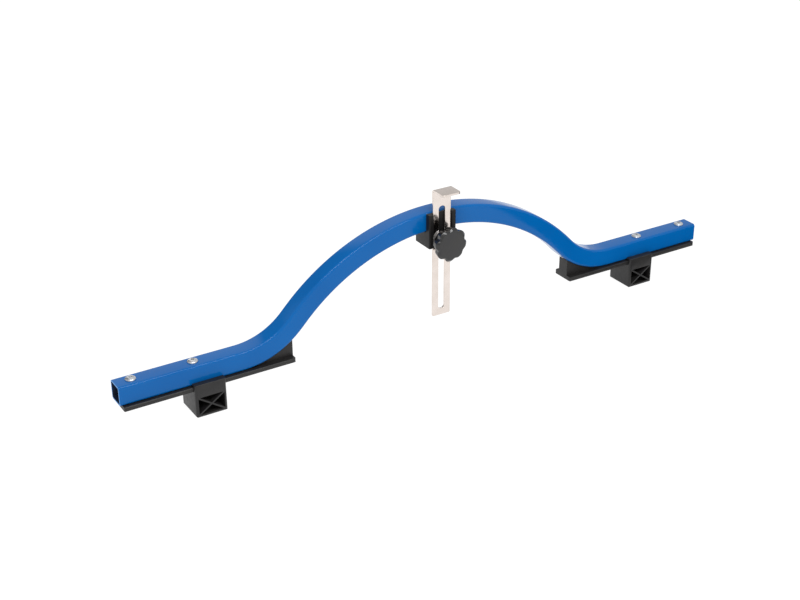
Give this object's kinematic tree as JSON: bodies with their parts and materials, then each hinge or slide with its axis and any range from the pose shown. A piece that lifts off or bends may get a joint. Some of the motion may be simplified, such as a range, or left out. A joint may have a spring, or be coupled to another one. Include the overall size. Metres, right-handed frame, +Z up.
{
  "type": "wheel dishing gauge",
  "caption": "Arched square-tube wheel dishing gauge on sliding feet, with a slotted height plate clamped at its crown by a star knob.",
  "frame": {"origin": "on the surface that the sliding blocks stand on, under the middle of the object's box", "axes": "+X along the gauge to the right as seen from the knob's side, +Y away from the knob, +Z up"},
  "size_m": [0.66, 0.0498, 0.1656],
  "materials": {
    "blue_powder_coat": "gloss blue powder coat on steel, bare at the cut ends",
    "black_nylon": "satin moulded black nylon",
    "nickel_plate": "bright nickel-plated steel strip",
    "zinc_steel": "bright zinc-plated steel"
  },
  "bodies": {
    "gauge_frame": {"arch_tube": "blue_powder_coat", "left_rail": "black_nylon", "right_rail": "black_nylon", "left_outer_rail_screw": "zinc_steel", "left_outer_rail_nut": "zinc_steel", "left_inner_rail_screw": "zinc_steel", "left_inner_rail_nut": "zinc_steel", "right_outer_rail_screw": "zinc_steel", "right_outer_rail_nut": "zinc_steel", "right_inner_rail_screw": "zinc_steel", "right_inner_rail_nut": "zinc_steel", "guide_bracket": "black_nylon", "left_bracket_screw": "zinc_steel", "right_bracket_screw": "zinc_steel", "clamp_nut": "zinc_steel"},
    "left_foot_block": {"left_block": "black_nylon"},
    "right_foot_block": {"right_block": "black_nylon"},
    "pointer": {"indicator_plate": "nickel_plate"},
    "clamp_washer": {"knob_washer": "zinc_steel"},
    "clamp_knob": {"star_knob": "black_nylon", "knob_stud": "zinc_steel"}
  },
  "joints": [
    {"name": "left_block_slide", "type": "slide", "parent": "gauge_frame", "child": "left_foot_block", "axis": [1, 0, 0], "range_m": [-0.062, 0.07]},
    {"name": "right_block_slide", "type": "slide", "parent": "gauge_frame", "child": "right_foot_block", "axis": [1, 0, 0], "range_m": [-0.0747, 0.0573]},
    {"name": "plate_slide", "type": "slide", "parent": "gauge_frame", "child": "pointer", "axis": [0, 0, 1], "range_m": [-0.03, 0.07]},
    {"name": "clamp_travel", "type": "slide", "parent": "gauge_frame", "child": "clamp_washer", "axis": [0, -1, 0], "range_m": [0, 0.002]},
    {"name": "knob_turn", "type": "hinge", "parent": "clamp_washer", "child": "clamp_knob", "pos_m": [0, -0.00736, 0.11354], "axis": [0, -1, 0], "range_deg": [0, 720]}
  ],
  "couplings": [
    {"joint": "knob_turn", "follows": "clamp_travel", "rad_per_m": 6283.2}
  ]
}
